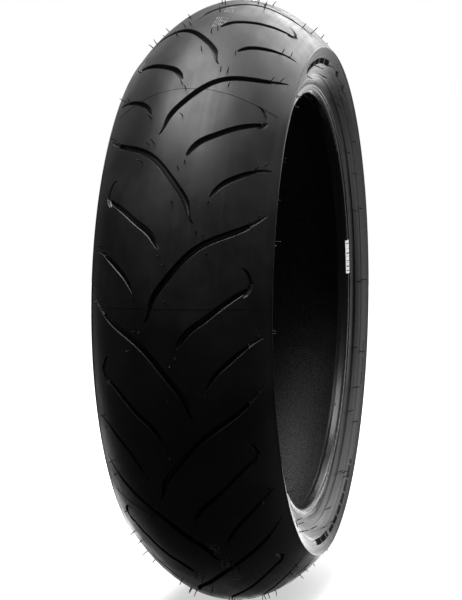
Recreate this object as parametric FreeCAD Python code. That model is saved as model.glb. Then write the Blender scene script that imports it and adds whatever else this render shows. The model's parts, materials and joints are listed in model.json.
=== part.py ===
import FreeCAD, Part
import math
import os
from FreeCAD import Vector

# Radial motorcycle tire, 180/55-17, lying about the wheel axle: Y is the axle, +Y the left side.
# Sections are drawn in the X-Y plane, X being the distance from the axle, and turned about Y.

# Overall sizes
outer_radius = 315.0
tread_edge_half_width = 86.0
tread_edge_drop = 49.7

# Crown: a centre arc, then a flatter shoulder arc tangent to it
crown_radius = 84.0
crown_slope = 30.0

# Layer thicknesses under the crown, from the road inwards
tread_cap_depth = 8.0
tread_base_depth = 1.5
belt_depth = 2.2
ply_depth = 1.2
liner_depth = 1.1

# Tread compounds and belt width
compound_half_width = 45.0
belt_edge_inset = 10.0
cord_diameter = 1.2
cord_pitch = 3.6

# Sidewall and bead outline, half section
sidewall_bulge = 1.4
ridge_radius = 236.0
ridge_overhang = 5.2
ridge_step = 0.7
flange_half_width = 70.0
flange_top_radius = 224.6
rim_line_height = 0.8
rim_line_width = 1.4
rim_hollow = 1.2
heel_round = 4.0
toe_radius = 217.3
toe_half_width = 57.5
toe_round = 2.0
toe_land = 2.4
base_taper = 12.5
shoulder_round = 7.0
cavity_neck_radius = 227.5
bead_overrun = 5.0

# Bead
wire_diameter = 0.95
wire_pitch = 1.1
wire_columns = 5
wire_rows = 4
bead_gum_cover = 0.45
chafer_under_core = 1.0
chafer_inner_top = 222.5
chafer_outer_top = 227.0
filler_top = 240.0
filler_tip_width = 0.6

# Tread pattern
pitch_count = 11
pattern_start = 148.7
groove_depth = 6.5
long_groove_width = 5.6
hook_groove_width = 5.4
short_groove_width = 4.8
slot_width = 2.4
slot_depth = 1.8
hook_slot_width = 3.8
hook_slot_depth = 2.8
lip_chamfer = 0.6
groove_draft = 4.0
groove_floor_round = 1.2
floor_round_limit = 0.7
cutter_rise = 0.5
path_step = 0.01

# Paper label stuck over the heel of the right bead
label_start = 5.0
label_sweep = 10.3
label_heel_start = 20.0
label_top_radius = 224.2
label_thickness = 0.25

AXLE = Vector(0, 1, 0)
CENTRE = Vector(0, 0, 0)


def at(r, y):
    return Vector(r, y, 0)


# The crown's two arcs, worked out once from the overall sizes
crown_centre = outer_radius - crown_radius
slope = math.radians(crown_slope)
join_y = crown_radius * math.sin(slope)
join_r = crown_centre + crown_radius * math.cos(slope)
edge_r = outer_radius - tread_edge_drop
chord_slope = math.atan2(join_r - edge_r, tread_edge_half_width - join_y)
edge_slope = 2 * chord_slope - slope
shoulder_radius = (tread_edge_half_width - join_y) / (math.sin(edge_slope) - math.sin(slope))
shoulder_y = join_y - shoulder_radius * math.sin(slope)
shoulder_r = join_r - shoulder_radius * math.cos(slope)


def crown_slope_at(y):
    """Angle of the road surface's normal at the lateral place y."""
    if abs(y) <= join_y:
        return math.asin(y / crown_radius)
    turn = math.asin((abs(y) - shoulder_y) / shoulder_radius)
    return math.copysign(turn, y)


def crown_point(angle, depth):
    """Point under the road surface, on the normal that leans by angle."""
    lean = abs(angle)
    if lean <= slope:
        r = crown_centre + (crown_radius - depth) * math.cos(lean)
        y = (crown_radius - depth) * math.sin(lean)
    else:
        r = shoulder_r + (shoulder_radius - depth) * math.cos(lean)
        y = shoulder_y + (shoulder_radius - depth) * math.sin(lean)
    return at(r, math.copysign(y, angle))


compound_slope = crown_slope_at(compound_half_width)
belt_half_width = tread_edge_half_width - belt_edge_inset
belt_slope = crown_slope_at(belt_half_width)
carcass_depth = tread_cap_depth + tread_base_depth + belt_depth
wall_depth = carcass_depth + ply_depth + liner_depth


def arc(start, middle, end):
    return Part.Arc(start, middle, end).toShape()


def line(start, end):
    return Part.makeLine(start, end)


def facing_up(face):
    return face if face.normalAt(0, 0).z > 0 else face.reversed()


def face_of(edges):
    return facing_up(Part.Face(Part.Wire(Part.__sortEdges__(edges))))


def spun(face):
    solid = face.revolve(CENTRE, AXLE, 360)
    return solid if solid.Volume > 0 else solid.reversed()


def crown_edges(depth, first, last):
    """Arcs of the crown at a depth, between two normals, from first to last."""
    stops = [first]
    for knee in (-slope, slope):
        if first < knee < last:
            stops.append(knee)
    stops.append(last)
    edges = []
    for low, high in zip(stops, stops[1:]):
        middle = crown_point((low + high) / 2, depth)
        edges.append(arc(crown_point(low, depth), middle, crown_point(high, depth)))
    return edges


def crown_band(top, bottom, first, last):
    """Section of one crown layer between two depths and two normals."""
    edges = crown_edges(top, first, last) + crown_edges(bottom, first, last)
    edges.append(line(crown_point(first, top), crown_point(first, bottom)))
    edges.append(line(crown_point(last, top), crown_point(last, bottom)))
    return face_of(edges)


# Inside of the casing, left half: crown, shoulder arc, slanted wall and bead side
inner_edge = crown_point(edge_slope, wall_depth)
pivot = at(inner_edge.x - shoulder_round * math.cos(edge_slope),
           inner_edge.y - shoulder_round * math.sin(edge_slope))
neck = at(cavity_neck_radius, toe_half_width)
reach = math.hypot(pivot.x - neck.x, pivot.y - neck.y)
wall_lean = math.atan2(pivot.y - neck.y, pivot.x - neck.x) + math.asin(shoulder_round / reach)


def on_pivot(radius, angle):
    return at(pivot.x + radius * math.cos(angle), pivot.y + radius * math.sin(angle))


def casing_half(offset):
    """Edges from the tread edge normal down to the bead, offset into the rubber."""
    turn_end = wall_lean + math.pi / 2
    start = crown_point(edge_slope, wall_depth - offset)
    end = on_pivot(shoulder_round + offset, turn_end)
    middle = on_pivot(shoulder_round + offset, (edge_slope + turn_end) / 2)
    knee_y = toe_half_width + offset
    knee_r = neck.x - offset * math.tan(wall_lean / 2)
    knee = at(knee_r, knee_y)
    foot = at(toe_radius - bead_overrun, knee_y)
    return [arc(start, middle, end), line(end, knee), line(knee, foot)], foot


def mirrored(shape):
    """The same shape on the other side of the wheel's middle plane."""
    return shape.mirror(CENTRE, AXLE)


def joined(faces):
    """Flat faces that meet, made into one face without the seams between them."""
    level = [facing_up(face) for piece in faces for face in piece.Faces]
    merged = level[0].fuse(level[1:]) if len(level) > 1 else level[0]
    return merged.removeSplitter().Faces[0]


def casing_band(outer, inner):
    """Section of a casing layer from bead to bead, between two offsets."""
    edges = crown_edges(wall_depth - outer, -edge_slope, edge_slope)
    edges += crown_edges(wall_depth - inner, -edge_slope, edge_slope)
    for offset in (outer, inner):
        side, foot = casing_half(offset)
        edges += side
        edges += [mirrored(edge) for edge in side]
    low = casing_half(outer)[1]
    high = casing_half(inner)[1]
    edges.append(line(low, high))
    edges.append(mirrored(line(low, high)))
    return face_of(edges)


def polygon(points):
    return face_of([line(a, b) for a, b in zip(points, points[1:] + points[:1])])


def box_section(low_r, high_r, low_y, high_y):
    return polygon([at(low_r, low_y), at(high_r, low_y), at(high_r, high_y), at(low_r, high_y)])


def base_radius(y):
    """Radius of the tapered bead base at the lateral place y."""
    taper_start = toe_half_width + toe_round + toe_land
    return toe_radius + max(0.0, y - taper_start) * math.tan(math.radians(base_taper))


def heel_points(first_turn, grow):
    """Three points on the rounded heel, up to the flange face, and grown outwards by grow."""
    taper = math.radians(base_taper)
    middle_y = flange_half_width - heel_round
    middle_r = base_radius(middle_y + heel_round * math.sin(taper)) + heel_round * math.cos(taper)
    points = []
    for turn in (first_turn, (first_turn + 90) / 2, 90):
        lean = math.radians(turn)
        points.append(at(middle_r - (heel_round + grow) * math.cos(lean),
                         middle_y + (heel_round + grow) * math.sin(lean)))
    return points


def wall_outline():
    """Left half section of everything outside the casing: tread edge, sidewall, bead and base."""
    top = crown_point(edge_slope, 0)
    inside = crown_point(edge_slope, carcass_depth)
    ridge = at(ridge_radius, flange_half_width + ridge_overhang)
    chord = ridge.sub(top)
    outward = Vector(chord.y, -chord.x, 0).normalize()
    if outward.y < 0:
        outward = outward * -1
    bulge = (top + ridge) * 0.5 + outward * sidewall_bulge
    step = at(ridge_radius, ridge.y - ridge_step)
    rim_top = at(flange_top_radius + 2 * rim_line_width, flange_half_width + rim_line_height * 0.75)
    hollow = (step + rim_top) * 0.5 - at(rim_hollow, rim_hollow)
    ledge_high = at(flange_top_radius + rim_line_width, flange_half_width + rim_line_height)
    ledge_low = at(flange_top_radius, flange_half_width + rim_line_height)
    flange = at(flange_top_radius, flange_half_width)
    heel_low, heel_middle, heel_high = heel_points(base_taper, 0)
    land_outer = at(toe_radius, toe_half_width + toe_round + toe_land)
    land_inner = at(toe_radius, toe_half_width + toe_round)
    corner = toe_round * math.sqrt(0.5)
    toe_middle = at(toe_radius + toe_round - corner, toe_half_width + toe_round - corner)
    toe_high = at(toe_radius + toe_round, toe_half_width)
    edges = [line(inside, top), arc(top, bulge, ridge), line(ridge, step), arc(step, hollow, rim_top)]
    edges += [line(rim_top, ledge_high), line(ledge_high, ledge_low), line(ledge_low, flange)]
    edges += [line(flange, heel_high), arc(heel_high, heel_middle, heel_low)]
    edges += [line(heel_low, land_outer), line(land_outer, land_inner)]
    edges += [arc(land_inner, toe_middle, toe_high), line(toe_high, neck)]
    slanted = casing_half(0)[0]
    edges += [line(neck, slanted[1].Vertexes[0].Point), slanted[0]]
    edges += [line(slanted[0].Vertexes[0].Point, inside)]
    return face_of(edges)


# Bead bundle, placed against the casing on one side and above the base on the other
bundle_width = (wire_columns - 1) * wire_pitch + wire_diameter + 2 * bead_gum_cover
bundle_height = (wire_rows - 1) * wire_pitch + wire_diameter + 2 * bead_gum_cover
bundle_y = toe_half_width + liner_depth + ply_depth
bundle_r = base_radius(bundle_y + bundle_width) + chafer_under_core + ply_depth


def bundle_section(grow):
    return box_section(bundle_r - grow, bundle_r + bundle_height + grow,
                       bundle_y - grow, bundle_y + bundle_width + grow)


def strand_section(place, across):
    """Six-sided section of one steel strand."""
    corners = []
    for side in range(6):
        turn = math.radians(60 * side)
        corners.append(place + Vector(math.cos(turn), math.sin(turn), 0) * (across / 2))
    return polygon(corners)


def wire_sections():
    first_r = bundle_r + bead_gum_cover + wire_diameter / 2
    first_y = bundle_y + bead_gum_cover + wire_diameter / 2
    wires = []
    for row in range(wire_rows):
        for column in range(wire_columns):
            place = at(first_r + row * wire_pitch, first_y + column * wire_pitch)
            wires.append(strand_section(place, wire_diameter))
    return wires


def cord_sections():
    """Belt cords, side by side across the crown, at the middle of the belt gum."""
    middle = tread_cap_depth + tread_base_depth + belt_depth / 2
    cords = []
    count = int((belt_half_width - cord_pitch) // cord_pitch)
    for turn in range(-count, count + 1):
        place = crown_point(crown_slope_at(turn * cord_pitch), middle)
        cords.append(strand_section(place, cord_diameter))
    return cords


def filler_section(outer):
    """Wedge of hard rubber that stands on the bead bundle, against the casing."""
    foot_in = at(bundle_r + bundle_height, bundle_y - ply_depth)
    foot_out = at(bundle_r + bundle_height, bundle_y + bundle_width + outer)
    side = casing_half(liner_depth + ply_depth)[0][1]
    along = (side.Vertexes[0].Point - side.Vertexes[1].Point).normalize()
    knee = side.Vertexes[1].Point
    height = (filler_top - knee.x) / along.x
    tip = knee + along * height
    across = Vector(-along.y, along.x, 0)
    tip_out = tip + across * (filler_tip_width + outer)
    return polygon([foot_in, foot_out, tip_out, tip - across])


def clip(face, low_r, high_r, low_y, high_y):
    return face.common(box_section(low_r, high_r, low_y, high_y))


far = 2 * outer_radius
bundle_middle = bundle_y + bundle_width / 2


def ply_section():
    """Casing ply: bead to bead, round each bundle and up its outer side."""
    band = casing_band(liner_depth + ply_depth, liner_depth)
    band = clip(band, bundle_r - ply_depth, far, -far, far)
    wrap = bundle_section(ply_depth).cut([bundle_section(0), filler_section(0)])
    turnup = filler_section(ply_depth).cut(filler_section(0))
    turnup = clip(turnup, bundle_r, far, bundle_middle, far)
    return joined([band, wrap, turnup, mirrored(wrap), mirrored(turnup)])


def liner_section():
    band = casing_band(liner_depth, 0)
    return clip(band, chafer_inner_top, far, -far, far).Faces[0]


def wall_sections():
    """Rubber of the left side outside the casing: sidewall, rim strip and chafer."""
    taken = [ply_section(), liner_section(), bundle_section(0), filler_section(0)]
    rest = wall_outline().cut(taken)
    chafer = clip(rest, 0, chafer_inner_top, 0, bundle_middle)
    chafer = joined([chafer, clip(rest, 0, chafer_outer_top, bundle_middle, far)])
    strip = clip(rest, chafer_outer_top, ridge_radius, bundle_middle, far)
    sidewall = clip(rest, ridge_radius, far, 0, far)
    return sidewall.Faces[0], strip.Faces[0], chafer


# Tread grooves. A path is drawn by hand as (degrees on from the pitch start, percent of the way
# from the middle to the tread edge), and a mouth as (share of the path, share of width, of depth).
long_path = [(1.2, -24.2), (4.5, -16.3), (8.3, 0.0), (11.8, 18.6), (14.3, 37.2), (16.4, 59.3), (18.6, 77.9)]
long_mouth = [(0.0, 0.25, 0.3), (0.06, 0.85, 0.9), (0.14, 1.0, 1.0), (0.9, 0.95, 0.85), (1.0, 0.7, 0.5)]
hook_path = [(-3.2, 10.5), (-1.2, 18.0), (1.3, 36.0), (4.0, 55.8), (6.9, 77.9)]
hook_mouth = [(0.0, 0.25, 0.3), (0.08, 0.9, 0.9), (0.18, 1.0, 1.0), (0.85, 0.85, 0.8), (1.0, 0.6, 0.45)]
short_path = [(-10.3, 39.0), (-8.0, 47.7), (-6.2, 58.7), (-4.6, 69.8), (-3.4, 79.1)]
short_mouth = [(0.0, 0.25, 0.3), (0.15, 0.8, 0.8), (0.45, 1.0, 1.0), (0.85, 0.8, 0.7), (1.0, 0.55, 0.4)]
long_slot = [(18.1, 74.4), (19.2, 81.4), (21.4, 92.4)]
hook_slot_out = [(5.9, 74.5), (7.0, 80.0), (8.2, 82.3)]
hook_slot_back = [(7.6, 82.2), (9.2, 79.8), (10.6, 71.5)]
short_slot = [(-3.8, 75.6), (-2.9, 82.6), (-2.0, 92.4)]
slot_mouth = [(0.0, 0.95, 0.9), (0.5, 1.0, 1.0), (1.0, 0.35, 0.4)]
bend_mouth = [(0.0, 1.0, 1.0), (1.0, 0.95, 0.9)]
back_mouth = [(0.0, 0.9, 0.9), (0.5, 0.65, 0.7), (1.0, 0.15, 0.2)]


def on_crown(turn, y):
    """Point of the road surface and its normal, turn being degrees about the axle."""
    lean = crown_slope_at(y)
    r = crown_point(lean, 0).x
    angle = math.radians(turn)
    point = Vector(r * math.cos(angle), y, r * math.sin(angle))
    normal = Vector(math.cos(lean) * math.cos(angle), math.sin(lean), math.cos(lean) * math.sin(angle))
    return point, normal


def mouth_at(mouth, share):
    for low, high in zip(mouth, mouth[1:]):
        if share <= high[0]:
            part = (share - low[0]) / (high[0] - low[0])
            return [a + (b - a) * part for a, b in zip(low[1:], high[1:])]
    return list(mouth[-1][1:])


def groove_cutter(path, mouth, width, depth, sections, ruled):
    """Solid that cuts one right-hand groove: a chamfered, drafted, round-floored channel."""
    curve = Part.BSplineCurve()
    percent = tread_edge_half_width / 100
    curve.interpolate([Vector(turn, share * percent, 0) for turn, share in path])
    start = curve.FirstParameter
    span = curve.LastParameter - start
    wires = []
    for index in range(sections):
        share = index / (sections - 1)
        shape = mouth_at(mouth, share)
        place = curve.value(start + span * share)
        ahead = curve.value(start + span * min(1.0, share + path_step))
        behind = curve.value(start + span * max(0.0, share - path_step))
        point, normal = on_crown(pattern_start - place.x, -place.y)
        tangent = on_crown(pattern_start - ahead.x, -ahead.y)[0]
        tangent = tangent.sub(on_crown(pattern_start - behind.x, -behind.y)[0])
        across = tangent.cross(normal).normalize()
        half = width * shape[0] / 2
        deep = depth * shape[1]
        lip = lip_chamfer * shape[1]
        foot = half - deep * math.tan(math.radians(groove_draft))
        curl = min(groove_floor_round, foot * floor_round_limit)
        right = [(half + lip + cutter_rise, cutter_rise), (half, -lip),
                 (foot, curl - deep), (foot - curl, -deep)]
        outline = right + [(-u, v) for u, v in reversed(right)]
        wires.append(Part.makePolygon([point + across * u + normal * v for u, v in outline + outline[:1]]))
    return Part.makeLoft(wires, True, ruled)


def groove_cutters(kinds):
    """Every listed groove of the right side, round all the pitches."""
    cutters = []
    for kind in kinds:
        first = groove_cutter(*kind)
        for pitch in range(pitch_count):
            turned = first.copy()
            turned.rotate(CENTRE, AXLE, pitch * 360 / pitch_count)
            cutters.append(turned)
    return cutters


main_grooves = [
    (long_path, long_mouth, long_groove_width, groove_depth, 13, False),
    (hook_path, hook_mouth, hook_groove_width, groove_depth, 9, False),
    (short_path, short_mouth, short_groove_width, groove_depth, 7, False),
]
slots = [
    (long_slot, slot_mouth, slot_width, slot_depth, 5, True),
    (hook_slot_out, bend_mouth, hook_slot_width, hook_slot_depth, 4, True),
    (hook_slot_back, back_mouth, hook_slot_width, hook_slot_depth, 5, True),
    (short_slot, slot_mouth, slot_width, slot_depth, 4, True),
]


def other_side(shape):
    """Left-hand copy: mirrored and half a pitch on."""
    turned = mirrored(shape)
    turned.rotate(CENTRE, AXLE, -180 / pitch_count)
    return turned


def tread_centre():
    ring = spun(crown_band(0, tread_cap_depth, -compound_slope, compound_slope))
    cutters = groove_cutters(main_grooves)
    return ring.cut(cutters + [other_side(cutter) for cutter in cutters])


def tread_shoulder_right():
    ring = spun(crown_band(0, tread_cap_depth, -edge_slope, -compound_slope))
    ring = ring.cut(groove_cutters(main_grooves))
    return ring.cut(groove_cutters(slots))


def label_right():
    """Paper label that follows the heel and the flange face of the right bead."""
    edges = []
    ends = []
    for grow in (0, label_thickness):
        low, middle, high = heel_points(label_heel_start, grow)
        top = at(label_top_radius, high.y)
        edges += [arc(low, middle, high), line(high, top)]
        ends.append((low, top))
    edges += [line(ends[0][0], ends[1][0]), line(ends[0][1], ends[1][1])]
    label = mirrored(face_of(edges)).revolve(CENTRE, AXLE, label_sweep)
    label.rotate(CENTRE, AXLE, -label_start - label_sweep)
    return label


def write(node, shape):
    solids = shape.Solids
    piece = solids[0] if len(solids) == 1 else Part.Compound(solids)
    if not piece.isValid() or piece.Volume <= 0:
        raise RuntimeError(node + " is not a sound solid")
    piece.exportStep("parts/" + node + ".step")
    print(node, len(solids), round(piece.Volume / 1000, 1), "cm3")


def write_pair(node, section):
    write(node + "_left", spun(section))
    write(node + "_right", spun(mirrored(section)))


def main():
    os.makedirs("parts", exist_ok=True)
    shoulder = tread_shoulder_right()
    write("tread_centre", tread_centre())
    write("tread_shoulder_right", shoulder)
    write("tread_shoulder_left", other_side(shoulder))

    gum_top = tread_cap_depth + tread_base_depth
    cords = cord_sections()
    write("tread_base", spun(crown_band(tread_cap_depth, gum_top, -edge_slope, edge_slope)))
    belt = crown_band(gum_top, carcass_depth, -belt_slope, belt_slope).cut(cords)
    write("belt_gum", spun(belt.Faces[0]))
    write("belt_cords", Part.Compound([spun(cord) for cord in cords]))
    write_pair("belt_edge_strip", crown_band(gum_top, carcass_depth, belt_slope, edge_slope))

    ply = ply_section()
    write("body_ply", spun(ply))
    write("inner_liner", spun(liner_section()))
    wires = wire_sections()
    write_pair("bead_gum", bundle_section(0).cut(wires).Faces[0])
    write("bead_wires_left", Part.Compound([spun(wire) for wire in wires]))
    write("bead_wires_right", Part.Compound([spun(mirrored(wire)) for wire in wires]))
    write_pair("bead_filler", filler_section(0).cut(ply).Faces[0])
    sidewall, strip, chafer = wall_sections()
    write_pair("sidewall", sidewall)
    write_pair("rim_strip", strip)
    write_pair("chafer", chafer)
    write("label", label_right())


main()
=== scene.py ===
import json
import math
import random

import bmesh
import bpy
from mathutils import Matrix, Vector
from mathutils.bvhtree import BVHTree


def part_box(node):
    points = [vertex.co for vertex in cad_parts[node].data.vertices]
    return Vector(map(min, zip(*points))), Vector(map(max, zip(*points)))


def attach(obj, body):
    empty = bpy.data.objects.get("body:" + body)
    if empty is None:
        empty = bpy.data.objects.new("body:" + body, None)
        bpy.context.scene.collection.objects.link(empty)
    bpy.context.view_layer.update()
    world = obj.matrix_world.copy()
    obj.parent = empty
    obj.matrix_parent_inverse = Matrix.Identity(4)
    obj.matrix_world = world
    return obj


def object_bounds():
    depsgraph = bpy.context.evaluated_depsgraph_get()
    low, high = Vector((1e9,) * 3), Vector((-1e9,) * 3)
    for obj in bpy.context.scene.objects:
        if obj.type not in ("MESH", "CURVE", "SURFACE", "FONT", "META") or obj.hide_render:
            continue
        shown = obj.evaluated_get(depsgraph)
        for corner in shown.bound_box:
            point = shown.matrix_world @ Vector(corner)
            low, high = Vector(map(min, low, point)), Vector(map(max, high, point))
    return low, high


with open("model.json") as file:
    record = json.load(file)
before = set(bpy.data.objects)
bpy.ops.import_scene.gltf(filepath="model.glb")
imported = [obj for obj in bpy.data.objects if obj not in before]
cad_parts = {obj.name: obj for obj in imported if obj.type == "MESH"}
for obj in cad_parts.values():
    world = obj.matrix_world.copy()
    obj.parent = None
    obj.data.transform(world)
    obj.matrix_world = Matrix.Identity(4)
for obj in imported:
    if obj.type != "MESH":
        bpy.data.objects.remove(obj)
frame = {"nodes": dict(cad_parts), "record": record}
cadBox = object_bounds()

nodes = frame["nodes"]
lowCorner, highCorner = cadBox
tireRadius = (highCorner.x - lowCorner.x) / 2
treadHalfWidth = (highCorner.y - lowCorner.y) / 2
flangeHalfWidth = -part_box("label")[0].y  # the label lies on the right flange face
fullTurn = 2 * math.pi
print("frame loaded, tire radius", round(tireRadius, 4))


# shader maths: a wire from one socket, written in sums and products
class Wire:
    def __init__(self, tree, socket=None):
        self.tree = tree
        self.socket = socket

    def node(self, kind, settings=None, inputs=None, output=0):
        made = self.tree.nodes.new(kind)
        for name, value in (settings or {}).items():
            setattr(made, name, value)
        for name, value in (inputs or {}).items():
            if isinstance(value, Wire):
                self.tree.links.new(value.socket, made.inputs[name])
            else:
                made.inputs[name].default_value = value
        return Wire(self.tree, made.outputs[output])

    def output(self, name):
        return Wire(self.tree, self.socket.node.outputs[name])

    def math(self, operation, *others):
        return self.node("ShaderNodeMath", {"operation": operation}, dict(enumerate((self,) + others)))

    def __add__(self, other):
        return self.math("ADD", other)

    def __mul__(self, other):
        return self.math("MULTIPLY", other)

    def __rsub__(self, other):
        return self * -1 + other

    __radd__ = __add__
    __rmul__ = __mul__

    def rise(self, low, high, bottom=0.0, top=1.0):  # from bottom to top as the value goes from low to high
        return self.node("ShaderNodeMapRange", {"interpolation_type": "SMOOTHSTEP"},
                         {"Value": self, "From Min": low, "From Max": high, "To Min": bottom, "To Max": top})


class Finish:
    def __init__(self, name, coat=0.0, coatRoughness=0.3, specular=0.5):
        self.material = bpy.data.materials.new(name)
        self.material.use_nodes = True
        tree = self.material.node_tree
        tree.nodes.clear()
        self.start = Wire(tree)
        self.shader = self.start.node("ShaderNodeBsdfPrincipled", None, {
            "Coat Weight": coat, "Coat Roughness": coatRoughness, "Specular IOR Level": specular})
        ending = tree.nodes.new("ShaderNodeOutputMaterial")
        tree.links.new(self.shader.socket, ending.inputs["Surface"])
        self.place = self.start.node("ShaderNodeTexCoord").output("Object")
        parts = self.start.node("ShaderNodeSeparateXYZ", None, {"Vector": self.place})
        self.x = parts
        self.y = parts.output("Y")
        self.z = parts.output("Z")
        self.turn = self.z.math("ARCTAN2", self.x)
        self.radius = (self.x * self.x + self.z * self.z).math("SQRT")

    def noise(self, scale, detail=2.0, roughness=0.5, vector=None):
        return self.start.node("ShaderNodeTexNoise", None, {
            "Vector": vector or self.place, "Scale": scale, "Detail": detail, "Roughness": roughness})

    def around(self, turns, radial, lateral):  # coordinates that run round the tire
        return self.start.node("ShaderNodeCombineXYZ", None, {
            "X": self.turn * turns, "Y": self.radius * radial, "Z": self.y * lateral})

    def set(self, name, value):
        node = self.shader.socket.node
        if isinstance(value, Wire):
            node.id_data.links.new(value.socket, node.inputs[name])
        else:
            node.inputs[name].default_value = value

    def blend(self, share, low, high):
        return self.start.node("ShaderNodeMix", {"data_type": "RGBA"}, {0: share, 6: low, 7: high}, 2)

    def bump(self, height, depth):
        self.set("Normal", self.start.node("ShaderNodeBump", None, {"Height": height, "Distance": depth}))
        return self.material


def grey(value, warmth=0.0):
    return (value * (1 + warmth), value, value * (1 - warmth), 1)


treadLook = {
    "dark": 0.009,
    "light": 0.017,
    "roughLow": 0.31,
    "roughHigh": 0.54,
    "grainScale": 1150,  # per metre
    "grainDepth": 0.00011,
    "dust": 0.05,
}


def treadRubber(name, look):
    finish = Finish(name, specular=0.5)
    cloud = finish.noise(11, 4, 0.6)
    patch = finish.noise(38, 3, 0.6)
    streak = finish.noise(1.0, 3, 0.6, finish.around(1.5, 0, 260))
    grain = finish.noise(look["grainScale"], 2, 0.7)
    speck = finish.noise(420, 1).rise(0.72, 0.76)
    dust = patch.rise(0.5, 0.75) * 0.35 + speck * 0.6
    base = finish.blend(cloud.rise(0.35, 0.65), grey(look["dark"]), grey(look["light"]))
    finish.set("Base Color", finish.blend(dust * 0.3, base, grey(look["dust"], 0.04)))
    share = cloud * 0.55 + patch * 0.25 + streak * 0.2
    finish.set("Roughness", share.rise(0.36, 0.64, look["roughLow"], look["roughHigh"]))
    return finish.bump(grain * 0.6 + streak * 0.35 + speck * 0.4, look["grainDepth"])


sidewallLook = {
    "dark": 0.012,
    "light": 0.020,
    "roughLow": 0.24,
    "roughHigh": 0.36,
    "grainScale": 1500,
    "ringPitch": 0.0011,
    "depth": 0.00005,
}


def sidewallRubber(name, look):
    finish = Finish(name, specular=0.5)
    cloud = finish.noise(14, 3)
    grain = finish.noise(look["grainScale"], 2)
    rings = (finish.radius * (fullTurn / look["ringPitch"])).math("SINE") * 0.5 + 0.5
    smear = finish.noise(1.0, 3, 0.6, finish.around(2.5, 240, 60))
    finish.set("Base Color", finish.blend(cloud.rise(0.35, 0.65), grey(look["dark"]), grey(look["light"])))
    finish.set("Roughness", smear.rise(0.3, 0.7, look["roughLow"], look["roughHigh"]))
    return finish.bump(grain * 0.5 + rings * 0.25 + smear * 0.3, look["depth"])


chaferLook = {
    "dark": 0.010,
    "light": 0.018,
    "roughLow": 0.2,
    "roughHigh": 0.34,
    "depth": 0.00003,
    "coat": 0.25,  # mounting wax
    "coatRough": 0.22,
}


def chaferRubber(name, look):
    finish = Finish(name, coat=look["coat"], coatRoughness=look["coatRough"], specular=0.5)
    smear = finish.noise(1.0, 4, 0.6, finish.around(1.6, 500, 600))
    grain = finish.noise(1300, 2)
    lube = finish.noise(1.0, 3, 0.55, finish.around(3.0, 160, 200)).rise(0.3, 0.75)
    finish.set("Base Color", finish.blend(smear.rise(0.35, 0.65), grey(look["dark"]), grey(look["light"])))
    finish.set("Roughness", lube.rise(0.0, 1.0, look["roughHigh"], look["roughLow"]))
    return finish.bump(grain * 0.4 + smear * 0.6, look["depth"])


linerLook = {
    "dark": 0.012,
    "light": 0.15,
    "rough": 0.55,
    "pebble": 620,
    "depth": 0.00035,
    "smoothBand": 0.025,  # half width of the smoother strip in the middle
    "bandEdge": 0.001,
}


def linerRubber(name, look):
    finish = Finish(name, specular=0.35)
    pebble = finish.noise(look["pebble"], 3, 0.7)
    fleck = finish.noise(950, 2, 0.6)
    cloud = finish.noise(16, 3)
    bandStart = look["smoothBand"] - look["bandEdge"]
    bandEnd = look["smoothBand"] + look["bandEdge"]
    side = finish.y.math("ABSOLUTE").rise(bandStart, bandEnd)
    share = pebble.rise(0.38, 0.66) * 0.6 + fleck.rise(0.45, 0.7) * 0.4
    finish.set("Base Color", finish.blend(share * cloud.rise(0.2, 0.7, 0.55, 1.0),
                                          grey(look["dark"]), grey(look["light"])))
    finish.set("Roughness", look["rough"])
    return finish.bump(pebble * (side * 0.6 + 0.4) + fleck * 0.3, look["depth"])


def gumRubber(name, color, rough):
    finish = Finish(name, specular=0.3)
    cloud = finish.noise(60, 3)
    dark = grey(color * 0.7, 0.1)
    light = grey(color * 1.2, 0.16)
    finish.set("Base Color", finish.blend(cloud.rise(0.3, 0.7), dark, light))
    finish.set("Roughness", cloud.rise(0.2, 0.8, rough - 0.08, rough + 0.08))
    return finish.bump(finish.noise(1400, 2), 0.00005)


def platedSteel(name):
    finish = Finish(name)
    twist = (finish.turn * 900 + finish.y * 4000).math("SINE") * 0.5 + 0.5
    finish.set("Metallic", 1.0)
    finish.set("Base Color", finish.blend(twist, (0.42, 0.33, 0.19, 1), (0.72, 0.6, 0.38, 1)))
    finish.set("Roughness", twist.rise(0.0, 1.0, 0.28, 0.42))
    return finish.bump(twist, 0.00004)


def plyFabric(name):
    finish = Finish(name, specular=0.25)
    cords = (finish.turn * 1400).math("SINE") * 0.5 + 0.5
    fuzz = finish.noise(900, 3)
    finish.set("Base Color", finish.blend(cords * 0.7 + fuzz * 0.3, grey(0.05, 0.15), grey(0.17, 0.25)))
    finish.set("Roughness", 0.8)
    return finish.bump(cords, 0.0002)


labelLook = {
    "white": 0.82,
    # painted light: how strongly the paper glows
    "glow": 0.8,
    "ink": 0.03,
    "barsPerTurn": 260,
    "inkLow": 0.2185,  # the bars run between these radii
    "inkHigh": 0.2235,
    "inkEdge": 0.0003,
}


def labelPaper(name, look):
    finish = Finish(name, specular=0.3)
    fibre = finish.noise(900, 3)
    wide = finish.noise(1.0, 0, 0.5, finish.around(95, 0, 0)).rise(0.47, 0.53)
    bars = (finish.turn * look["barsPerTurn"]).math("SINE").rise(-0.15, 0.1) * wide
    inside = finish.radius.rise(look["inkLow"], look["inkLow"] + look["inkEdge"])
    inside = inside * finish.radius.rise(look["inkHigh"], look["inkHigh"] + look["inkEdge"], 1.0, 0.0)
    paper = finish.blend(fibre, grey(look["white"] * 0.93, 0.01), grey(look["white"]))
    printed = finish.blend(bars * inside, paper, grey(look["ink"]))
    finish.set("Base Color", printed)
    finish.set("Emission Color", printed)  # painted light: a little glow keeps the paper white under this low light
    finish.set("Emission Strength", look["glow"])
    finish.set("Roughness", fibre.rise(0.2, 0.8, 0.5, 0.65))
    return finish.bump(fibre, 0.00003)


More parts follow.
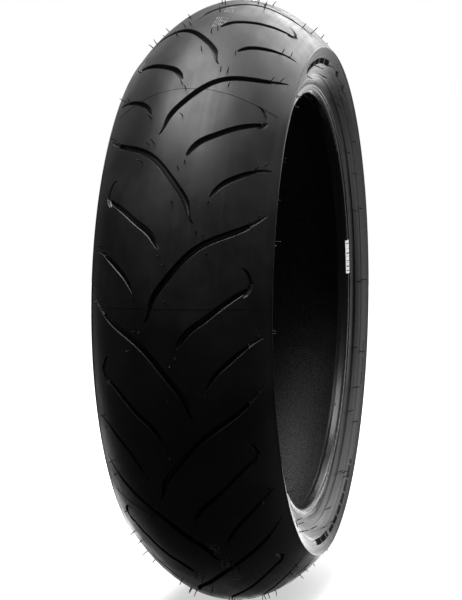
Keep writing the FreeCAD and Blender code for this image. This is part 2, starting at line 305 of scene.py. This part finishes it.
def stencilPaint(name):  # thin grey marking paint, worn
    finish = Finish(name, specular=0.3)
    worn = finish.noise(700, 3, 0.7).rise(0.35, 0.65)
    finish.set("Base Color", finish.blend(worn, grey(0.2), grey(0.62)))
    finish.set("Roughness", worn.rise(0.0, 1.0, 0.45, 0.7))
    return finish.bump(worn, 0.00005)


materials = {
    "tread_rubber": treadRubber("treadRubber", treadLook),
    "shoulder_rubber": treadRubber("shoulderRubber", dict(treadLook, roughLow=0.29, roughHigh=0.5)),
    "sidewall_rubber": sidewallRubber("sidewallRubber", sidewallLook),
    "strip_rubber": sidewallRubber("stripRubber", dict(sidewallLook, roughLow=0.26, roughHigh=0.4)),
    "chafer_rubber": chaferRubber("chaferRubber", chaferLook),
    "liner_rubber": linerRubber("linerRubber", linerLook),
    "base_rubber": gumRubber("baseRubber", 0.02, 0.6),
    "gum_rubber": gumRubber("gumRubber", 0.05, 0.65),
    "filler_rubber": gumRubber("fillerRubber", 0.03, 0.5),
    "cord_steel": platedSteel("cordSteel"),
    "ply_fabric": plyFabric("plyFabric"),
    "label_paper": labelPaper("labelPaper", labelLook),
}
for entry in frame["record"]["subparts"]:
    mesh = nodes[entry["node"]].data
    mesh.materials.clear()
    mesh.materials.append(materials[entry["material_slot"]])
print("materials on", len(nodes), "nodes")


# the outside skin, to set pieces down on
def skinOf(names):
    bm = bmesh.new()
    for name in names:
        bm.from_mesh(nodes[name].data)
    tree = BVHTree.FromBMesh(bm)
    bm.free()
    return tree


sides = {"right": -1, "left": 1}
treadSkin = skinOf(["tread_centre", "tread_shoulder_left", "tread_shoulder_right"])
wallSkin = skinOf([kind + "_" + side for kind in ("sidewall", "rim_strip", "chafer") for side in sides])


# how the skin is felt for: straight in along a line that starts outside it
feeler = {
    "lean": 0.35,  # sideways slope of the line at the tread's edge
    "depth": 0.95,  # share of the tire's radius that the line aims at
    "out": 0.08,  # start, out from there
    "beside": 1.3,  # start beside a wall, as a share of the tread's half width
}


def spoke(turn):
    return Vector((math.cos(turn), 0, math.sin(turn)))


def onTread(turn, lateral):
    ray = (spoke(turn) + Vector((0, lateral / treadHalfWidth * feeler["lean"], 0))).normalized()
    start = spoke(turn) * (tireRadius * feeler["depth"]) + Vector((0, lateral, 0)) + ray * feeler["out"]
    return treadSkin.ray_cast(start, -ray)[:2]


def onWall(turn, radius, side):
    start = spoke(turn) * radius + Vector((0, side * treadHalfWidth * feeler["beside"], 0))
    return wallSkin.ray_cast(start, Vector((0, -side, 0)))[:2]


def onBase(turn, lateral):
    return wallSkin.ray_cast(Vector((0, lateral, 0)), spoke(turn))[:2]


def newPiece(name, bm, material, smooth=True):
    bmesh.ops.recalc_face_normals(bm, faces=bm.faces)
    mesh = bpy.data.meshes.new(name)
    bm.to_mesh(mesh)
    bm.free()
    mesh.materials.append(material)
    for polygon in mesh.polygons:
        polygon.use_smooth = smooth
    piece = bpy.data.objects.new(name, mesh)
    bpy.context.scene.collection.objects.link(piece)
    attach(piece, "root")
    return piece


# vent whiskers: thin rubber hairs left by the mould's vent holes
whisker = {
    "length": 0.0058,
    "lengthSpread": 0.0016,
    "diameter": 0.0012,
    "tip": 0.32,  # tip's radius as a share of the diameter
    "root": 0.45,  # how far the hair's middle stands out, as a share of its length; its foot is sunk in
    "bends": (0.0003, 0.0008, 0.0018),
    "pitches": 11,
    "sectors": 36,
    "sectorStart": 0.3,
    "wander": 0.02,  # radians either way
    # radius of a ring of hairs on the wall, and every how many sectors it has one
    "wallRows": ((0.2508, 2), (0.2447, 3), (0.2385, 2)),
    "baseEvery": 2,
    "baseInset": 0.0075,  # row on the bead base, in from the flange face
    "baseLength": 0.6,
    # degrees on from the pitch start and share of the half width, per pitch and side
    "treadPlaces": [(-0.4, -0.27), (4.7, -0.01), (10.7, -0.035), (12.7, 0.385), (-4.3, 0.09), (-11.2, 0.365),
                    (7.8, 0.86), (19.2, 0.82), (-2.8, 0.83), (20.8, 0.93), (-1.4, 0.94), (16.0, 0.34)],
    "patternStart": math.radians(148.7),
}


def whiskerShape(lean):  # one hair of unit length, bent over by lean
    bm = bmesh.new()
    bmesh.ops.create_cone(bm, cap_ends=True, segments=5, radius1=whisker["diameter"] / 2,
                          radius2=whisker["diameter"] * whisker["tip"], depth=1)
    longEdges = [edge for edge in bm.edges if abs(edge.verts[0].co.z - edge.verts[1].co.z) > 0.5]
    bmesh.ops.subdivide_edges(bm, edges=longEdges, cuts=3)
    for vert in bm.verts:
        vert.co.x += lean * (vert.co.z + 0.5) ** 2
    bmesh.ops.translate(bm, verts=bm.verts, vec=(0, 0, whisker["root"]))
    mesh = bpy.data.meshes.new("whiskerShape")
    bm.to_mesh(mesh)
    bm.free()
    return mesh


whiskerShapes = [whiskerShape(lean) for lean in whisker["bends"]]


def addWhisker(bm, place, normal, length, bend, turnAway):
    before = len(bm.verts)
    bm.from_mesh(whiskerShapes[bend])
    bm.verts.ensure_lookup_table()
    upright = Matrix.Rotation(turnAway, 4, "Z") @ Matrix.Diagonal((1, 1, length, 1))
    standing = Matrix.Translation(place) @ normal.to_track_quat("Z", "Y").to_matrix().to_4x4() @ upright
    bmesh.ops.transform(bm, verts=bm.verts[before:], matrix=standing)


def hairLength(draw):
    return whisker["length"] + draw.uniform(-1, 1) * whisker["lengthSpread"]


def treadWhiskers():
    draw = random.Random(5)
    bm = bmesh.new()
    step = fullTurn / whisker["pitches"]
    for side in sides.values():
        offset = 0 if side < 0 else -step / 2
        for pitch in range(whisker["pitches"]):
            for degrees, share in whisker["treadPlaces"]:
                turn = whisker["patternStart"] + offset - math.radians(degrees) - pitch * step
                place, normal = onTread(turn, side * share * treadHalfWidth)
                if place is None:
                    continue
                addWhisker(bm, place, normal, hairLength(draw), draw.randrange(3), draw.uniform(0, fullTurn))
    return newPiece("treadWhiskers", bm, materials["tread_rubber"])


def wallWhiskers():
    draw = random.Random(8)
    bm = bmesh.new()
    for side in sides.values():
        for index in range(whisker["sectors"]):
            turn = fullTurn * (index + whisker["sectorStart"]) / whisker["sectors"]
            for radius, every in whisker["wallRows"]:
                if index % every:
                    continue
                shift = draw.uniform(-whisker["wander"], whisker["wander"])
                place, normal = onWall(turn + shift, radius, side)
                addWhisker(bm, place, normal, hairLength(draw), draw.randrange(2), draw.uniform(0, fullTurn))
            if index % whisker["baseEvery"] == 0:
                place, normal = onBase(turn, side * (flangeHalfWidth - whisker["baseInset"]))
                length = hairLength(draw) * whisker["baseLength"]
                addWhisker(bm, place, normal, length, draw.randrange(2), draw.uniform(0, fullTurn))
    return newPiece("wallWhiskers", bm, materials["sidewall_rubber"])


# raised marks: thin bars and blocks that stand a little proud of the rubber
def barShape(length, width, height, taper=0.8, cuts=0):
    bm = bmesh.new()
    bmesh.ops.create_cube(bm, size=1)
    bmesh.ops.scale(bm, vec=(length, width, height), verts=bm.verts)
    for vert in bm.verts:
        if vert.co.z > 0:
            vert.co.x *= 1 - (1 - taper) * width / length
            vert.co.y *= taper
    if cuts:
        longEdges = [edge for edge in bm.edges if abs(edge.verts[0].co.x - edge.verts[1].co.x) > length * 0.5]
        bmesh.ops.subdivide_edges(bm, edges=longEdges, cuts=cuts)
    mesh = bpy.data.meshes.new("barShape")
    bm.to_mesh(mesh)
    bm.free()
    return mesh


def setDown(bm, shape, place, normal, ahead):  # shape's X runs along ahead, its Z out along the normal
    before = len(bm.verts)
    bm.from_mesh(shape)
    bm.verts.ensure_lookup_table()
    along = (ahead - normal * ahead.dot(normal)).normalized()
    across = normal.cross(along)
    turned = Matrix((along, across, normal)).transposed().to_4x4()
    bmesh.ops.transform(bm, verts=bm.verts[before:], matrix=Matrix.Translation(place) @ turned)


crownSamples = {}
crownSearch = {"places": 24, "start": 0.05}  # looks round the tire for a place clear of grooves


def crownAt(lateral):  # radius of the ungrooved road surface at a lateral place
    key = round(lateral, 5)
    if key not in crownSamples:
        radii = []
        for index in range(crownSearch["places"]):
            turn = fullTurn * index / crownSearch["places"] + crownSearch["start"]
            place, normal = onTread(turn, lateral)
            if place is not None:
                radii.append(Vector((place.x, 0, place.z)).length)
        crownSamples[key] = max(radii) if radii else tireRadius
    return crownSamples[key]


# hair-thin seams where the segments of the mould met
mouldLine = {
    "count": 9,
    "first": math.radians(177.9),
    "width": 0.0006,
    "height": 0.0005,
    "step": 0.0035,
    "overlap": 1.15,
    "taper": 0.6,
    "reach": 0.985,  # share of the tread's half width
    "grooveDrop": 0.0007,  # a place this far under the crown is in a groove
}


def mouldLines(look):
    bm = bmesh.new()
    shape = barShape(look["step"] * look["overlap"], look["width"], look["height"], look["taper"])
    steps = int(treadHalfWidth * look["reach"] / look["step"])
    for index in range(look["count"]):
        turn = look["first"] - fullTurn * index / look["count"]
        for row in range(-steps, steps + 1):
            place, normal = onTread(turn, row * look["step"])
            lowest = crownAt(row * look["step"]) - look["grooveDrop"]
            if place is None or Vector((place.x, 0, place.z)).length < lowest:
                continue  # the seam stops at a groove
            setDown(bm, shape, place, normal, Vector((0, 1, 0)) - normal * normal.y)
    return newPiece("mouldLines", bm, materials["tread_rubber"], False)


# bands of plain slanted bars in place of the sidewall's wording
hatch = {
    # first degree, last degree, low radius, high radius, degrees from bar to bar
    "bands": [(85, 112, 0.2482, 0.2545, 0.85), (262, 276, 0.2490, 0.2556, 0.85),
              (278, 311, 0.2515, 0.2560, 0.75), (334, 346, 0.2540, 0.2562, 0.6),
              (151, 172, 0.2515, 0.2560, 0.75), (200, 224, 0.2490, 0.2556, 0.85)],
    "barWidth": 0.0013,
    "height": 0.0010,
    "slant": 0.3,
    "overlap": 1.02,
    "taper": 0.7,
    "cuts": 2,  # cuts along each bar's length; the bar is set down straight
    "skip": 7,  # every so many bars one is left out
    "grey": 0.006,
    "rough": 0.75,
}


def wallHatch(look):
    bm = bmesh.new()
    for side in sides.values():
        for first, last, low, high, step in look["bands"]:
            length = (high - low) * look["overlap"]
            shape = barShape(length, look["barWidth"], look["height"], look["taper"], look["cuts"])
            count = int((last - first) / step)
            for index in range(count):
                if index % look["skip"] == look["skip"] - 1:
                    continue
                turn = math.radians(first + index * step)
                place, normal = onWall(turn, (low + high) / 2, side)
                ahead = spoke(turn) + spoke(turn + math.pi / 2) * look["slant"]
                setDown(bm, shape, place, normal, ahead)
    matt = gumRubber("hatchRubber", look["grey"], look["rough"])
    return newPiece("wallHatch", bm, matt, False)


# fine raised rings, left where the mould's parts met or set to guide the bead onto the rim
wallRing = {
    # distance from the axle, distance from the middle plane (0 to lie on the wall), width, how proud
    "rings": [(0.2466, 0, 0.0009, 0.0002), (0.2653, 0.0859, 0.0007, 0.0005),
              (0.2178, 0.0579, 0.0006, 0.0006)],
    "steps": 240,
    "sectionSides": 8,
}


def wallRings(look):
    bm = bmesh.new()
    for side in sides.values():
        for radius, lateral, width, height in look["rings"]:
            place = Vector((radius, side * lateral, 0)) if lateral else onWall(0, radius, side)[0]
            section = bmesh.ops.create_circle(bm, segments=look["sectionSides"], radius=0.5)["verts"]
            bmesh.ops.scale(bm, vec=(width, height * 2, 1), verts=section)
            bmesh.ops.translate(bm, vec=place, verts=section)
            edges = list(dict.fromkeys(edge for vert in section for edge in vert.link_edges))
            bmesh.ops.spin(bm, geom=section + edges, cent=(0, 0, 0), axis=(0, 1, 0), angle=fullTurn,
                           steps=look["steps"], use_merge=True)
    return newPiece("wallRings", bm, materials["sidewall_rubber"])


# short strokes beside the wording: plain wear and direction ticks
tick = {
    # degrees, low radius, high radius, strokes
    "groups": [(73, 0.2500, 0.2562, 3), (65, 0.2505, 0.2562, 2), (236, 0.2500, 0.2562, 3)],
    "gap": 0.75,
    "width": 0.0009,
    "height": 0.0008,
    "shorter": 0.2,  # each stroke is this share shorter than the last
    "slant": 0.2,
    "taper": 0.7,
}


def wallTicks(look):
    bm = bmesh.new()
    for side in sides.values():
        for degrees, low, high, strokes in look["groups"]:
            for index in range(strokes):
                turn = math.radians(degrees + index * look["gap"])
                length = (high - low) * (1 - index * look["shorter"])
                shape = barShape(length, look["width"], look["height"], look["taper"], 1)
                place, normal = onWall(turn, (low + high) / 2, side)
                setDown(bm, shape, place, normal, spoke(turn) + spoke(turn + math.pi / 2) * look["slant"])
    return newPiece("wallTicks", bm, materials["sidewall_rubber"], False)


# dotted stencil marks left on the tread by the maker's inspection
stencil = {
    "pitch": 0.0019,
    "dot": 0.0010,
    "height": 0.00025,
    "taper": 0.9,
    "gone": 0.45,  # share of the dots worn away
    # turn in degrees, lateral place, columns, rows
    "patches": [(110, -0.006, 12, 5), (117, -0.005, 13, 6), (237, -0.026, 12, 5), (231, -0.022, 10, 4),
                (226, -0.018, 9, 5)],
}


def stencilDots(look):
    draw = random.Random(21)
    bm = bmesh.new()
    shape = barShape(look["dot"], look["dot"], look["height"], look["taper"])
    for degrees, lateral, columns, rows in look["patches"]:
        for column in range(columns):
            for row in range(rows):
                if draw.random() < look["gone"]:
                    continue
                turn = math.radians(degrees) + (column - columns / 2) * look["pitch"] / tireRadius
                place, normal = onTread(turn, lateral + (row - rows / 2) * look["pitch"])
                if place is not None:
                    setDown(bm, shape, place, normal, Vector((0, 1, 0)))
    return newPiece("stencilDots", bm, stencilPaint("stencilPaint"), False)


treadWhiskers()
wallWhiskers()
print("whiskers placed")
mouldLines(mouldLine)
wallHatch(hatch)
wallRings(wallRing)
wallTicks(tick)
stencilDots(stencil)
print("raised marks placed")


# stage: pale floor and soft studio light
stageLook = {
    "floorSize": 6.0,
    "floorGrey": 0.86,
    "floorRough": 0.8,
    "floorGlow": 0.55,  # near the tire; the floor is lit from within, like a light table: painted light, weaker near the tire, so a painted shade lies round it
    "glowReach": (0.3, 1.1),  # from near to far, where the glow reaches full white
    "floorGap": 0.0003,
}


def addFloor(look):
    bm = bmesh.new()
    bmesh.ops.create_grid(bm, x_segments=1, y_segments=1, size=look["floorSize"])
    mesh = bpy.data.meshes.new("floor")
    bmesh.ops.translate(bm, verts=bm.verts, vec=(0, 0, lowCorner.z - look["floorGap"]))
    bm.to_mesh(mesh)
    bm.free()
    finish = Finish("floorPaint", specular=0.0)
    finish.set("Base Color", grey(look["floorGrey"]))
    finish.set("Roughness", look["floorRough"])
    # painted light from the floor itself, dimmer near the tire: a painted shade round the tire
    away = (finish.x * finish.x + finish.y * finish.y).math("SQRT").rise(*look["glowReach"])
    finish.set("Emission Color", finish.blend(away, grey(look["floorGlow"]), grey(1.0)))
    finish.set("Emission Strength", 1.0)
    mesh.materials.append(finish.material)
    floor = bpy.data.objects.new("floor", mesh)
    floor.visible_glossy = False  # the black rubber is kept dark in front, as with flags on a real set
    floor.visible_diffuse = False
    bpy.context.scene.collection.objects.link(floor)


backdropLook = {
    "white": 1.0,
    "front": 0.03,  # light from in front
    "above": 0.4,  # soft dome overhead
    "side": 1.1,  # from the right
    "window": 1.9,  # from behind on the right, above the horizon
    "behind": 0.1,
    "left": 0.6,  # from behind on the left
    "sweep": 4.2,  # from behind, off the floor
    # where each starts and ends, as parts of a unit direction
    "behindZone": (0.5, 1.0),
    "rightZone": (-0.9, -0.5, 1.0, 0.0),
    "rightReach": (0.35, 0.6),
    "windowFoot": (-0.03, 0.07),
    "windowHead": (0.25, 0.5, 1.0, 0.0),
    "windowSide": (-0.05, 0.1, 1.0, 0.0),
    "sweepHead": (-0.12, 0.02, 1.0, 0.0),
    "sweepFoot": (-0.45, -0.3),
    "sweepSide": (-0.3, -0.12),
    "leftZone": (-0.1, 0.25),
    "domeZone": (0.2, 0.95),
}


def addWorld(look):
    world = bpy.data.worlds.new("studio")
    world.use_nodes = True
    bpy.context.scene.world = world
    tree = world.node_tree
    start = Wire(tree)
    way = start.node("ShaderNodeTexCoord").output("Generated")
    parts = start.node("ShaderNodeSeparateXYZ", None, {"Vector": way})
    lateral = parts.output("Y")
    height = parts.output("Z")
    behind = parts.rise(*look["behindZone"])
    right = lateral.rise(*look["rightZone"]) * parts.rise(*look["rightReach"])
    window = height.rise(*look["windowFoot"]) * height.rise(*look["windowHead"])
    window = window * lateral.rise(*look["windowSide"])
    below = height.rise(*look["sweepHead"]) * height.rise(*look["sweepFoot"])
    below = below * lateral.rise(*look["sweepSide"])
    level = below * look["sweep"] + window * look["window"]
    level = level + lateral.rise(*look["leftZone"]) * look["left"] + look["behind"]
    dome = height.rise(*look["domeZone"]) * look["above"]
    level = behind * level + right * look["side"] + dome + look["front"]
    seen = start.node("ShaderNodeLightPath")  # the backdrop itself is plain white
    share = seen * look["white"] + (1 - seen) * level
    tree.links.new(share.socket, tree.nodes["Background"].inputs["Color"])


panels = {
    # place, place aimed at, width, height, watts
    "topPanel": ((-0.3, 0.1, 1.35), (0, 0, 0.1), 1.3, 1.0, 25),
    "backPanel": ((1.2, -0.45, 1.2), (0, 0, 0.3), 1.4, 0.8, 17),
}


def addPanels(look):
    for name, (place, target, width, height, power) in look.items():
        light = bpy.data.lights.new(name, "AREA")
        light.shape = "RECTANGLE"
        light.size = width
        light.size_y = height
        light.energy = power
        panel = bpy.data.objects.new(name, light)
        panel.location = place
        panel.rotation_euler = (Vector(target) - Vector(place)).to_track_quat("-Z", "Y").to_euler()
        bpy.context.scene.collection.objects.link(panel)


cameraLook = {
    "azimuth": -76.62,
    "elevation": 3.61,
    "distance": 1.8575,
    "lens": 104.6,
    "sensor": 36.0,
    "shiftX": -0.0277,
}


def addCamera(look):
    azimuth = math.radians(look["azimuth"])
    elevation = math.radians(look["elevation"])
    back = Vector((math.sin(azimuth) * math.cos(elevation), -math.cos(azimuth) * math.cos(elevation),
                   math.sin(elevation)))
    camera = bpy.data.cameras.new("camera")
    camera.lens = look["lens"]
    camera.sensor_width = look["sensor"]
    camera.shift_x = look["shiftX"]
    holder = bpy.data.objects.new("camera", camera)
    holder.location = back * look["distance"]
    holder.rotation_euler = back.to_track_quat("Z", "Y").to_euler()
    bpy.context.scene.collection.objects.link(holder)
    bpy.context.scene.camera = holder


addFloor(stageLook)
addWorld(backdropLook)
addPanels(panels)
bpy.context.scene.view_settings.view_transform = "Standard"
addCamera(cameraLook)
print("stage and camera set")
